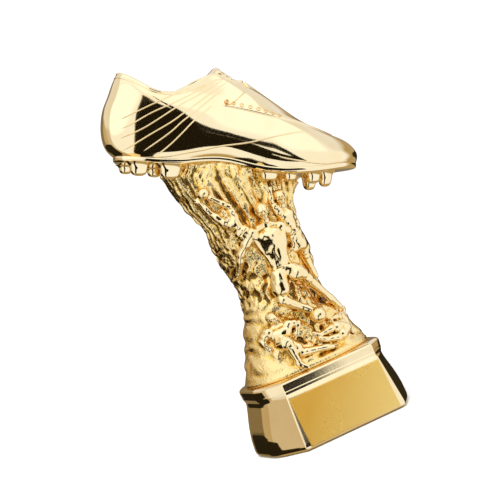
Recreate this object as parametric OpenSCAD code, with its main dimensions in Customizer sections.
// Football trophy: octagonal plinth, relief column with applied players,
// and a hollow boot standing toe-down on top. Millimetres, +Z up, front is -Y.
// Origin is the middle of the flat underside that rests on the table.

/* [Plinth] */
// height of the plinth's top face
plinth_top = 48.5; // [44:0.5:54]
// half depth of the front and back faces at the table
half_depth = 44; // [40:0.5:48]
// how far the front face leans back over 49 mm of height
lean = 12; // [8:0.5:14]
// half width of the front face at the table
front_half = 39.5; // [36:0.5:42]
// half width of the plinth across its two sides
side_half = 54; // [50:0.5:56]
// thickness of the cast walls
wall = 3.5; // [2.5:0.25:5]
// nameplate width
plate_w = 70.6; // [60:0.2:72]
// nameplate height along the sloping face
plate_h = 35; // [28:0.5:35]
// nameplate thickness
plate_t = 0.8; // [0.5:0.1:1]

/* [Fasteners] */
// radius of the bolt that ties the column to the plinth
bolt_r = 4; // [3:0.5:4]
// radius of the two locating dowels
dowel_r = 2.5; // [2:0.25:3]
// radius of the two screws that hold the boot down
boot_screw_r = 2; // [1.5:0.25:2]

/* [Boot] */
// angle of the sole, toe down
boot_tilt = 23; // [23:1:23]
// thickness of the boot wall
boot_wall = 2.3; // [1.6:0.1:3]
// how far the lace flap stands above the boot
flap_rise = 0.9; // [0.5:0.1:1.4]

/* [Hidden] */
roof_z = 42;
cover_z = 4.2;
felt_z = 1.2;
lean_a = atan(lean / 49);
boot_o = [-78, 0, 230.4];
screw_x = [66, 92];
insert_z = -19;
dowel_x = 30;
gold = [0.86, 0.66, 0.28];
satin = [0.82, 0.62, 0.27];
steel = [0.62, 0.63, 0.65];
NP = 36;
NB = 44;

// ---------- helpers ----------
function qb(a, b, c, t) = (1 - t) * (1 - t) * a + 2 * t * (1 - t) * b + t * t * c;
function spow(v, e) = sign(v) * pow(abs(v), e);
function step01(a, b, v) = let (t = min(1, max(0, (v - a) / (b - a)))) t * t * (3 - 2 * t);
function crv(a, b, c, d, t) = 0.5 * ((2 * b) + (c - a) * t + (2 * a - 5 * b + 4 * c - d) * t * t
  + (3 * b - a - 3 * c + d) * t * t * t);
function cat(v, s) = let (n = len(v), i = min(n - 2, max(0, floor(s))), t = s - i)
  crv(v[max(0, i - 1)], v[i], v[i + 1], v[min(n - 1, i + 2)], t);

// closed solid through a stack of equal rings, each counter-clockwise from above;
// a strip cap follows a curved end, across a ring whose sides mirror each other
module loft(rings, strip = false) {
  n = len(rings[0]);
  m = len(rings);
  function cap(i) = i == 0 ? [0, 1, n - 1] : i == n / 2 - 1 ? [i, i + 1, i + 2]
    : [i, i + 1, n - i - 1, n - i];
  function up(f) = [for (i = [len(f) - 1:-1:0]) (m - 1) * n + f[i]];
  polyhedron(points = [for (r = rings) each r],
    faces = concat(strip ? [for (i = [0:n / 2 - 1]) cap(i)] : [[for (i = [0:n - 1]) i]],
      [for (k = [0:m - 2]) for (i = [0:n - 1]) let (j = (i + 1) % n)
        each [[k * n + i, k * n + n + i, k * n + n + j], [k * n + i, k * n + n + j, k * n + j]]],
      strip ? [for (i = [0:n / 2 - 1]) up(cap(i))] : [up([for (i = [0:n - 1]) i])]), convexity = 8);
}

// ---------- plinth ----------
function front_y(z) = half_depth - lean * z / 49;
function front_w(z) = front_half - 4.6 * z / 49;
// eight-sided outline at one height; the side corners are softened
function oct(z, sx, df, r = 7) = let (w = front_w(z) - df * 0.7, y = front_y(z) - df, q = [sx, -19],
  p = [w, -y], d = (p - q) / norm(p - q), a = q + d * r, c = q + [0, r],
  e = [for (t = [0, 0.33, 0.67, 1]) qb(a, q, c, t)])
  [for (v = concat([[-w, -y], [w, -y]], e, [for (i = [3:-1:0]) [e[i][0], -e[i][1]]],
    [[w, y], [-w, y]], [for (i = [0:3]) [-e[i][0], -e[i][1]]],
    [for (i = [3:-1:0]) [-e[i][0], e[i][1]]])) [v[0], v[1], z]];

module plate_at(z = 19.3) translate([0, -front_y(z), z]) rotate([90 - lean_a, 0, 0]) children();

module shell_outside() loft([oct(0.8, side_half - 1.8, 1.4), oct(2, side_half - 0.5, 0.5),
  oct(4.5, side_half, 0), oct(10, side_half - 0.2, 0), oct(16, side_half - 0.9, 0),
  oct(22, side_half - 2.2, 0), oct(28, side_half - 4, 0), oct(33, side_half - 5.4, 0),
  oct(37, side_half - 6.2, 0), oct(38.2, side_half - 6.3, 0.5), oct(40.2, side_half - 5.4, 0.8),
  oct(42.6, side_half - 4.7, 0.1), oct(45.6, side_half - 4.6, 0), oct(47.4, side_half - 5.3, 0.4),
  oct(plinth_top, side_half - 7, 1.7)]);

module shell_inside() loft([oct(0.7, side_half - 4.4, 3.9), oct(5, side_half - wall - 0.3, wall + 0.1),
  oct(16, side_half - wall - 1, wall + 0.1), oct(28, side_half - wall - 4.2, wall + 0.1),
  oct(37, side_half - wall - 6.5, wall + 0.1), oct(roof_z, side_half - wall - 6.6, wall + 0.3)]);

module plinth_shell() color(gold) difference() {
  union() {
    difference() {
      shell_outside();
      shell_inside();
      plate_at() translate([-plate_w / 2 - 0.15, -plate_h / 2 - 0.15, -0.8])
        cube([plate_w + 0.3, plate_h + 0.3, 5]);
    }
    for (x = [-37, 37], y = [-27, 27]) translate([x, y, cover_z])
      cylinder(h = 28, r = 3.8, $fn = 32);
  }
  for (x = [-37, 37], y = [-27, 27]) translate([x, y, 0]) cylinder(h = 16, r = 1.4, $fn = 24);
  translate([0, 0, 30]) cylinder(h = 30, r = bolt_r + 0.25, $fn = 48);
  for (x = [-dowel_x, dowel_x]) translate([x, 0, 30]) cylinder(h = 30, r = dowel_r + 0.03, $fn = 32);
}

module nameplate() color(satin) plate_at() translate([-plate_w / 2, -plate_h / 2, -0.55])
  cube([plate_w, plate_h, plate_t]);

module nameplate_tape() color([0.9, 0.9, 0.86]) plate_at()
  translate([-plate_w / 2 + 2, -plate_h / 2 + 2, -0.8]) cube([plate_w - 4, plate_h - 4, 0.25]);

module ballast_block() color(steel) difference() {
  translate([-23, -20, roof_z - 20]) cube([46, 40, 20]);
  translate([0, 0, 10]) cylinder(h = 50, r = bolt_r + 0.25, $fn = 48);
}

function cover_ring(z) = oct(z, side_half - 4.9, 4.6);
module base_cover() color([0.16, 0.16, 0.17]) difference() {
  loft([cover_ring(felt_z), cover_ring(cover_z)]);
  for (x = [-37, 37], y = [-27, 27]) translate([x, y, 0]) {
    cylinder(h = 10, r = 1.7, $fn = 32);
    translate([0, 0, 0.2]) cylinder(h = 2.9, r1 = 4.5, r2 = 1.6, $fn = 32);
  }
}

module cover_screws() color(steel) for (x = [-37, 37], y = [-27, 27]) translate([x, y, 0])
  difference() {
    union() {
      translate([0, 0, 1.3]) cylinder(h = 1.7, r1 = 3.3, r2 = 1.6, $fn = 32);
      translate([0, 0, 2.9]) cylinder(h = 9.4, r = 1.35, $fn = 32);
    }
    translate([-2, -0.4, 1]) cube([4, 0.8, 1]);
    translate([-0.4, -2, 1]) cube([0.8, 4, 1]);
  }

module felt_pad() color([0.09, 0.16, 0.11]) loft([cover_ring(0), cover_ring(felt_z)]);

module column_bolt() color(steel) union() {
  translate([0, 0, 15.1]) cylinder(h = 5.3, r = 7.5, $fn = 6);
  translate([0, 0, 20.3]) cylinder(h = 54.7, r = bolt_r, $fn = 48);
}

module bolt_washer() color(steel) difference() {
  translate([0, 0, 20.4]) cylinder(h = 1.6, r = 8.4, $fn = 48);
  translate([0, 0, 20]) cylinder(h = 3, r = bolt_r + 0.25, $fn = 48);
}

module column_insert() color([0.78, 0.62, 0.3]) difference() {
  translate([0, 0, plinth_top + 0.5]) cylinder(h = 24, r = 6, $fn = 48);
  translate([0, 0, plinth_top]) cylinder(h = 30, r = bolt_r + 0.05, $fn = 48);
}

module dowel_pins() color(steel) for (x = [-dowel_x, dowel_x])
  translate([x, 0, roof_z + 0.5]) cylinder(h = 15, r = dowel_r, $fn = 32);

// underside of the sole along the boot: arch, ball and toe spring
SOLE = [[-20, -2], [-6, -3], [2, -4.2], [12, -5], [24, -5.7], [38, -6], [46, -5.6], [54, -4.4],
  [62, -3.5], [70, -3.2], [78, -3.8], [86, -5.4], [94, -7.2], [104, -8.9], [114, -9.5], [124, -9.2],
  [134, -8.3], [144, -6.8], [155, -4.8], [166, -3.2], [176, -1.9], [190, -0.4]];
function mix(a, b, t) = a + (b - a) * t;
function sole_z(x) = lookup(x, SOLE);

// ---------- column ----------
// left x, left z, right x, right z and half depth of each section, foot to shoulder
LR = [[-46.5, 48.5, 45, 48.5, 30.5], [-47, 50.5, 45.4, 50.5, 30.8], [-46, 52, 44.4, 52, 30.2],
  [-45.6, 55, 43.6, 54.6, 29], [-45, 58.5, 42.8, 57.7, 28], [-43.6, 62.5, 40.6, 62, 27],
  [-41.6, 66.5, 38.9, 65.9, 26], [-40, 70.6, 38, 71, 25.2], [-37.6, 77, 38.6, 76, 24.4],
  [-36.4, 82, 35.6, 81.5, 23.6], [-34.6, 87, 32.8, 86.5, 22.8], [-31.8, 92, 30.8, 92, 22],
  [-30.4, 99, 29.2, 98, 21.4], [-28, 106.3, 28.7, 106, 21], [-28.4, 113, 30.6, 112, 21],
  [-29.4, 119, 29.8, 118, 21], [-31.2, 125, 28.2, 124, 21.2], [-33.2, 131.5, 27.6, 131, 21.5],
  [-33.9, 138, 29, 137, 21.8], [-34.3, 144.5, 30.6, 143, 22], [-34.8, 151, 31.6, 147.5, 22.2],
  [-34.2, 158, 32.2, 151, 22.4], [-36, 164.5, 32.6, 154.5, 22.6], [-38.4, 170.3, 33.4, 157.6, 22.8],
  [-41.8, 176, 35, 160, 22.8], [-43, 182, 36.6, 162, 22.6], [-45.6, 188.5, 38.2, 163.6, 22.4],
  [-47.6, 196.5, 39.6, 164.8, 22], [-50.2, 204.9, 41.3, 166.1, 21.4]];
function strand(a, z) = 0.9 * step01(140, 165, z) * (cos(8 * a + 40) + 0.5 * cos(5 * a + z * 2))
  + 0.7 * (1 - step01(140, 165, z)) * step01(54, 62, z) * (cos(5 * a + z * 7) + 0.6 * cos(9 * a - z * 11));
function col_ring(r) = let (c = [r[0] + r[2], 0, r[1] + r[3]] / 2, h = [r[2] - r[0], 0, r[3] - r[1]] / 2)
  [for (i = [0:NP - 1]) let (a = i * 360 / NP, f = 1 + strand(a, c[2]) / 26)
    c + h * f * spow(cos(a), 0.87) + [0, r[4] * f * spow(sin(a), 0.87), 0]];
function flat_ring(x0, x1, z0, f, hw) = let (m = (x0 + x1) / 2, h = (x1 - x0) / 2)
  [for (i = [0:NP - 1]) let (a = i * 360 / NP, x = m + h * spow(cos(a), 0.87),
    zz = z0 + f * sole_z(x), y = hw * spow(sin(a), 0.87))
    [boot_o[0] + x * cos(boot_tilt) + zz * sin(boot_tilt), y,
    boot_o[2] - x * sin(boot_tilt) + zz * cos(boot_tilt)]];
module column_body() loft(concat([for (r = LR) col_ring(r)],
  [flat_ring(36.6, 134, -9.5, 0.25, 20.6), flat_ring(39, 131, -5, 0.7, 19.2),
    flat_ring(41, 129, 1, 1, 17.6)]), strip = true);

module in_boot() translate(boot_o) rotate([0, boot_tilt, 0]) children();

module column_casting() color(gold) difference() {
  column_body();
  in_boot() sole_solid();
  translate([0, 0, 40]) cylinder(h = 36, r = 6.03, $fn = 48);
  for (x = [-dowel_x, dowel_x]) translate([x, 0, 40]) cylinder(h = 18, r = dowel_r + 0.03, $fn = 32);
  in_boot() for (x = screw_x) translate([x, 0, insert_z - 1]) cylinder(h = 26, r = 3.53, $fn = 32);
}

// ---------- players ----------
module limb(a, b, ra, rb, f = 10) hull() {
  translate(a) sphere(r = ra, $fn = f);
  translate(b) sphere(r = rb, $fn = f);
}
// joints: head, neck, shoulder, elbow, hand (left then right), hip, knee, ankle, toe (left then right)
module figure(j, k = 1) {
  limb(j[0] + [0, 0, 0.7 * k], j[0] + [0, 0, -1.7 * k], 3.7 * k, 2.7 * k, 14);
  limb(j[0], j[1], 1.8 * k, 2.2 * k, 8);
  c = (j[2] + j[5]) / 2;
  w = (j[8] + j[12]) / 2;
  u = (c - w) / norm(c - w);
  hull() {
    for (i = [2, 5]) translate(j[i] * 0.88 + c * 0.12) sphere(r = 3 * k, $fn = 10);
    for (i = [2, 5]) translate(j[i] * 0.55 + c * 0.45 - u * 6.5 * k) sphere(r = 3.7 * k, $fn = 10);
    translate(w + u * 9 * k) sphere(r = 4.4 * k, $fn = 10);
  }
  hull() {
    translate(w + u * 9 * k) sphere(r = 4.4 * k, $fn = 10);
    for (i = [8, 12]) translate(j[i] + u * 1.5) sphere(r = 4.4 * k, $fn = 10);
  }
  for (i = [2, 5]) {
    limb(j[i], j[i + 1], 2.9 * k, 2.3 * k);
    limb(j[i + 1], j[i + 2], 2.2 * k, 1.6 * k, 8);
    translate(j[i + 2]) sphere(r = 1.9 * k, $fn = 10);
  }
  for (i = [8, 12]) {
    limb(j[i], j[i + 1], 4.6 * k, 3.3 * k);
    limb(j[i + 1], j[i + 2], 3 * k, 2 * k, 8);
    limb(j[i + 2], j[i + 3], 2 * k, 1.7 * k, 8);
  }
}
striker_j = [[-2, -26.6, 159], [0, -24.2, 151.5], [-13, -23.6, 146], [-23.5, -19, 134.2],
  [-29, -10, 120.3], [9.6, -23.2, 146.2], [19.6, -18.8, 138.2], [14.5, -21.5, 129.5],
  [-5.5, -23, 113], [-9.2, -24.2, 96.5], [3.6, -25.6, 87], [6, -27, 84.5], [5, -22.8, 115],
  [10.4, -25.6, 109.6], [24.8, -20.4, 86], [28.8, -19.2, 79.4]];
keeper_j = [[-25.2, -21.6, 167.2], [-24, -21.4, 163], [-27, -20.4, 161.5], [-33.6, -18.4, 171.5],
  [-37, -17.6, 180.5], [-19.6, -22, 161.8], [-20.6, -23, 170], [-30.6, -21.6, 180.8],
  [-18, -21.8, 150], [-12, -22, 141], [-8, -20, 134], [-7, -20, 132], [-15, -22, 149],
  [-9, -21, 141], [-6, -19, 134], [-5, -19, 132]];
challenger_j = [[15.6, -23.4, 163.4], [15.6, -21.6, 157.5], [11.2, -22.4, 154.4], [8.6, -22.6, 162],
  [10.4, -24.2, 169.6], [20.4, -19.4, 151], [26.6, -14.6, 143], [26, -14, 133.5],
  [20, -17.4, 134], [24, -15, 122], [26.6, -11.6, 106], [27.6, -12, 102], [22, -15, 134],
  [28.6, -8.4, 114.5], [26, -7, 100], [27, -7, 97]];
kneeling_j = [[-21, -23, 89.2], [-20.4, -22.6, 84.5], [-26.6, -20.2, 81.4], [-32, -18.4, 77],
  [-30.4, -20.6, 71.6], [-12.6, -25, 81.8], [-5.4, -25.4, 80], [-9, -26.4, 74.5],
  [-21.5, -24.6, 70.5], [-19, -29, 71.6], [-17.2, -30.6, 55], [-14, -32, 51.6],
  [-17.6, -25, 69.6], [-11.6, -27.6, 60.6], [5, -29.4, 57.6], [9, -29.6, 56.4]];
sliding_j = [[36.4, -9, 74.6], [34.5, -11, 72], [34, -13, 70], [33.4, -15.6, 64], [33.8, -17.4, 58.6],
  [30.4, -16.4, 71.6], [25.4, -21.6, 73.5], [20.6, -24.2, 73.8], [26, -20.6, 65],
  [15, -26, 68], [5, -27.6, 66.6], [1.6, -28, 69.4], [27, -21.6, 62], [17.6, -27, 59.8],
  [8, -28.6, 62.6], [4.6, -29, 64.6]];
runner_j = [[6, 26.4, 134], [4.6, 24.4, 127.5], [11, 23.4, 123.6], [21, 19.4, 117],
  [24.4, 17.6, 126], [-2.6, 24, 123.4], [-12, 23.4, 116.6], [-9.4, 26.4, 108.6],
  [6, 23, 100], [9.6, 26, 86], [20.4, 23.6, 76.6], [22.6, 26, 73], [-0.6, 23.4, 99.6],
  [-9.6, 26.2, 89.4], [-12, 26.4, 73.6], [-15.4, 28.8, 70.8]];
jumper_j = [[-13, 26.6, 172], [-13, 24.6, 165.5], [-19, 23.4, 162.6], [-28.4, 19, 168],
  [-33, 17, 177], [-6.6, 24, 162], [1.6, 24, 168.6], [9, 24.4, 175.6], [-16.6, 23.4, 142.6],
  [-24, 22.4, 131.4], [-20.4, 21.6, 117.4], [-23.4, 22.4, 113.4], [-10.4, 24, 142],
  [-3, 26, 132.6], [-9.6, 23.6, 140.4], [-12.6, 23, 141]];

module striker() color(gold) difference() { figure(striker_j, 1.08); column_body(); }
module ball(p, r) translate(p) sphere(r = r, $fn = 20);
module striker_ball() color(gold) difference() {
  ball([9.4, -27.4, 78.9], 4.6);
  column_body();
  figure(striker_j, 1.08);
}
module keeper() color(gold) difference() {
  figure(keeper_j, 0.86);
  column_body();
  figure(striker_j, 1.08);
}
module keeper_ball() color(gold) difference() {
  ball([-33.8, -20.8, 184.6], 4.4);
  column_body();
  figure(keeper_j, 0.86);
}
module challenger() color(gold) difference() {
  figure(challenger_j, 0.95);
  column_body();
  figure(striker_j, 1.08);
}
module kneeling_player() color(gold) difference() { figure(kneeling_j, 0.9); column_body(); }
module sliding_player() color(gold) difference() {
  figure(sliding_j, 0.84);
  column_body();
  ball([9.4, -27.4, 78.9], 4.6);
}
module rear_runner() color(gold) difference() { figure(runner_j, 1); column_body(); }
module rear_jumper() color(gold) difference() { figure(jumper_j, 0.95); column_body(); }
module rear_ball() color(gold) difference() {
  ball([26.5, 22, 72], 4.6);
  column_body();
  figure(runner_j, 1);
}

// ---------- boot ----------
// rings from the sole edge up to the collar: heel x, toe x, eleven half widths,
// eleven heights, and how much of the sole's curve the ring takes on
BK = [[3, 178.4, [23.4, 23.4, 22.4, 21, 20.8, 22.6, 26.8, 31.8, 34.8, 35.4, 27],
    [for (i = [0:10]) 4], 1],
  [-3, 179.4, [24.4, 23.9, 23.4, 23, 23.3, 25, 28.4, 32.8, 36, 36.2, 28], [for (i = [0:10]) 9], 0.9],
  [-6, 177, [23.4, 23.4, 23.1, 22.9, 23.2, 24.4, 26.8, 30.2, 32.4, 31, 24.4],
    [19, 19, 19, 19, 18.8, 18.4, 17.8, 17, 16, 15, 13.6], 0.55],
  [-5, 168, [22, 22.6, 22.6, 21.8, 20.6, 20.8, 22.6, 24.8, 25.4, 22.8, 15.4],
    [31, 31, 31, 31, 30.6, 30, 29, 27.2, 24.6, 21.6, 19.2], 0.15],
  [-2, 146, [20.4, 21.6, 21.7, 20.2, 18.4, 17.4, 17.8, 18.6, 18, 15.4, 9.6],
    [39, 38.2, 37, 36, 36.2, 37.2, 37.6, 36.4, 33, 29, 25], 0],
  [1, 120, [17.6, 20, 20.4, 18.8, 16.8, 15.6, 15.2, 14.6, 12.8, 10.4, 7],
    [48, 44.8, 40.8, 39.4, 40.6, 43.4, 46.6, 48.6, 47, 43.6, 39], 0],
  [4, 94, [13, 16.4, 18.4, 18, 16.2, 15, 14.4, 13.6, 12.2, 10.2, 8],
    [55.2, 50.4, 45, 42.4, 43, 46.6, 51.4, 56.4, 56.4, 54.4, 55], 0]];
// height of the floor inside, then the inner rings from rim to floor
floor_z = 5;
BI = [[6.6, 91, [10.6, 14, 16, 15.6, 13.9, 12.8, 12.2, 11.4, 10, 7.8, 5.6],
    [55, 50.2, 44.8, 42.2, 42.8, 46.4, 51.2, 56, 56, 53.6, 54]],
  [3.8, 96, [13.6, 17.2, 18, 16.6, 14.8, 13.8, 13.2, 12.4, 10.8, 8.4, 6],
    [47, 43, 38.6, 37, 37.8, 40.6, 43.8, 46, 46, 44.8, 44]],
  [1, 104, [16.4, 18.8, 19.2, 18, 16.2, 15.4, 15.8, 16, 14.6, 12, 8],
    [36, 35, 34, 33, 33, 33.4, 33.8, 33.4, 32.4, 31.4, 30]],
  [-2, 110, [18.6, 20, 20, 19.2, 18.6, 18.8, 19.8, 19.8, 18, 15, 10],
    [22, 22, 22, 22, 22, 22, 21.6, 21, 20.4, 19.6, 19]],
  [2, 112, [17.6, 18, 18, 17.6, 17.6, 18, 19, 20, 20, 17, 12], [for (i = [0:10]) floor_z]]];
function toe_in(x) = x < 80 ? 0 : 4.5 * pow((x - 80) / 100, 2);
function ring_pt(r, a) = let (u = (1 + cos(a)) / 2, x = r[0] + (r[1] - r[0]) * u)
  [x, toe_in(x) + cat(r[2], u * 10) * spow(sin(a), 0.7),
    cat(r[3], u * 10) + (len(r) > 4 ? r[4] * sole_z(x) : 0)];
function skin(v, a) = cat([for (r = BK) ring_pt(r, a)], v);
function skin_ring(v) = [for (i = [0:NB - 1]) skin(v, i * 360 / NB)];
function table_ring(r) = [for (i = [0:NB - 1]) ring_pt(r, i * 360 / NB)];
// grow or shrink a ring sideways by d and set its height
function edge_ring(d, z) = let (r = BK[0]) [for (i = [0:NB - 1])
  let (p = ring_pt([r[0] - d, r[1] + d, [for (w = r[2]) w + d], r[3]], i * 360 / NB))
    [p[0], p[1], z + sole_z(p[0])]];

module upper_body() loft(concat([for (v = [0:0.5:6]) skin_ring(v)],
  [[for (i = [0:NB - 1]) (skin(6, i * 360 / NB) + ring_pt(BI[0], i * 360 / NB)) / 2 + [0, 0, 0.7]]],
  [for (r = BI) table_ring(r)]), strip = true);

module boot_upper() color(gold) in_boot() difference() {
  upper_body();
  for (x = screw_x) translate([x, 0, -6]) cylinder(h = 18, r = boot_screw_r + 0.2, $fn = 32);
}

// one moulded stud: centre x and y, half length, half breadth, height of its tip
module stud(x, y, l, b, tip) let (top = sole_z(x) + 1.4) hull()
  for (q = [[top - 0.6, 1.1], [mix(top, tip, 0.45), 0.95], [tip + 1.6, 0.82], [tip + 0.4, 0.58],
    [tip, 0.3]])
    translate([x, y, q[0]]) scale([l * q[1], b * q[1], 1]) cylinder(h = 0.5, r = 1, $fn = 14);
module sole_solid() union() {
  loft([edge_ring(-2.4, 0), edge_ring(-0.6, 0.6), edge_ring(0.8, 2.2), edge_ring(0.8, 3.1),
    edge_ring(0, 4)], strip = true);
  stud(15.6, -14.2, 6.2, 3.8, -13.8);
  stud(36.4, -17.2, 7, 3.6, -15.4);
  stud(14.6, 12.4, 4.6, 3.8, -10.2);
  stud(35.4, 14, 5, 3.8, -11.4);
  for (s = [-1, 1]) {
    stud(104.4, s * 23.4, 6, 4, -15);
    stud(119.8, s * 24.6 + 0.6, 4.4, 4, -14.6);
    stud(138.4, s * 21.6 + 2, 4.8, 4.2, -14.8);
    stud(150.6, s * 14.4 + 3, 4.8, 4.4, -15.8);
  }
}
module outsole_body() difference() {
  sole_solid();
  for (x = screw_x) translate([x, 0, -12]) cylinder(h = 18, r = boot_screw_r + 0.2, $fn = 32);
}
module outsole() color(gold) in_boot() outsole_body();

// raised lace panel over the vamp: how far each row is down it, the angles of its two edges,
// and the ring number its lower edge follows at each angle
flap_s = [0, 0.22, 0.45, 0.68, 1];
flap_a = [-12, -44, -66, -80, -92];
flap_b = [12, 32, 44, 50, 54];
flap_low = [[0, 3.3], [50, 3.27], [57, 3.25], [64, 3.2], [70, 3.22], [77, 3.3], [84, 3.45], [88, 3.6],
  [92, 3.73], [120, 3.9]];
flap_n = 12;
function nrm(v, a) = let (c = cross(skin(v, a + 1) - skin(v, a - 1),
  skin(min(6, v + 0.1), a) - skin(v - 0.1, a))) c / norm(c);
function flap_pt(k, j, d) = let (a = flap_a[k] + (flap_b[k] - flap_a[k]) * j / flap_n,
  v = 6 - flap_s[k] * (6 - lookup(abs(a), flap_low)))
  skin(v, a) + d * nrm(v, a);
module flap_body() for (k = [0:3], j = [0:flap_n - 1]) hull()
  polyhedron(points = [for (d = [-0.9, flap_rise]) for (q = [[k, j], [k, j + 1], [k + 1, j + 1],
    [k + 1, j]]) flap_pt(q[0], q[1], d)],
    faces = [[0, 1, 2, 3], [4, 5, 6, 7], [0, 1, 5, 4], [1, 2, 6, 5], [2, 3, 7, 6], [3, 0, 4, 7]]);
module lace_flap() color(gold) in_boot() difference() { flap_body(); upper_body(); }

// ring number and angle of each mark along the near lower edge of the panel
marks = [[4.13, -85.2], [3.96, -83.2], [3.82, -80.4], [3.73, -76.8], [3.65, -73.4], [3.57, -70.4],
  [3.5, -67.4], [3.43, -64.4]];
module flap_marks() color(gold) in_boot() difference() {
  for (m = marks) let (p = skin(m[0], m[1]), w = nrm(m[0], m[1]))
    hull() {
      translate(p + w * 0.7) sphere(r = 1.1, $fn = 10);
      translate(p + w * 0.9) sphere(r = 0.9, $fn = 10);
    }
  flap_body();
  upper_body();
}

tongue_rows = [[57, 49, 11.4, 1], [66, 55.4, 11, 2], [72.8, 61, 10.2, 3.4],
  [77, 59.6, 9.8, 3.6], [82.4, 57, 8.8, 3.4], [90, 52.4, 7.2, 2.4], [96, 48.6, 6, 2]];
module tongue() color(gold) in_boot() difference() {
  for (i = [0:5], j = [-2:1]) hull()
    for (m = [i, i + 1], n = [j, j + 1]) let (r = tongue_rows[m], f = n / 2)
      translate([r[0], toe_in(r[0]) + r[2] * f, r[1] - r[3] * f * f]) sphere(r = 1.3, $fn = 8);
  upper_body();
  flap_body();
}

module insole_board() color([0.5, 0.4, 0.24]) in_boot() difference() {
  r = BI[4];
  loft([for (z = [floor_z, floor_z + 1.4]) [for (i = [0:NB - 1])
    let (p = ring_pt([r[0] + 1.4, r[1] - 1.4, [for (w = r[2]) w - 1.4], r[3]], i * 360 / NB))
      [p[0], p[1], z]]]);
  for (x = screw_x) translate([x, 0, floor_z - 2]) cylinder(h = 6, r = boot_screw_r + 0.2, $fn = 32);
}

module boot_screws() color(steel) in_boot() for (x = screw_x) translate([x, 0, floor_z]) difference() {
  union() {
    translate([0, 0, 1.4]) cylinder(h = 2.4, r = 3.8, $fn = 32);
    translate([0, 0, -22]) cylinder(h = 23.5, r = boot_screw_r, $fn = 32);
  }
  translate([0, 0, 2.4]) cylinder(h = 2, r = 1.5, $fn = 6);
}

module boot_inserts() color([0.78, 0.62, 0.3]) in_boot() for (x = screw_x) translate([x, 0, insert_z])
  difference() {
    cylinder(h = 11, r = 3.5, $fn = 32);
    translate([0, 0, -1]) cylinder(h = 13, r = boot_screw_r + 0.05, $fn = 32);
  }

plinth_shell();
nameplate();
nameplate_tape();
ballast_block();
base_cover();
cover_screws();
felt_pad();
column_bolt();
bolt_washer();
column_insert();
dowel_pins();
column_casting();
striker();
striker_ball();
keeper();
keeper_ball();
challenger();
kneeling_player();
sliding_player();
rear_runner();
rear_jumper();
rear_ball();
boot_upper();
outsole();
tongue();
lace_flap();
flap_marks();
insole_board();
boot_screws();
boot_inserts();
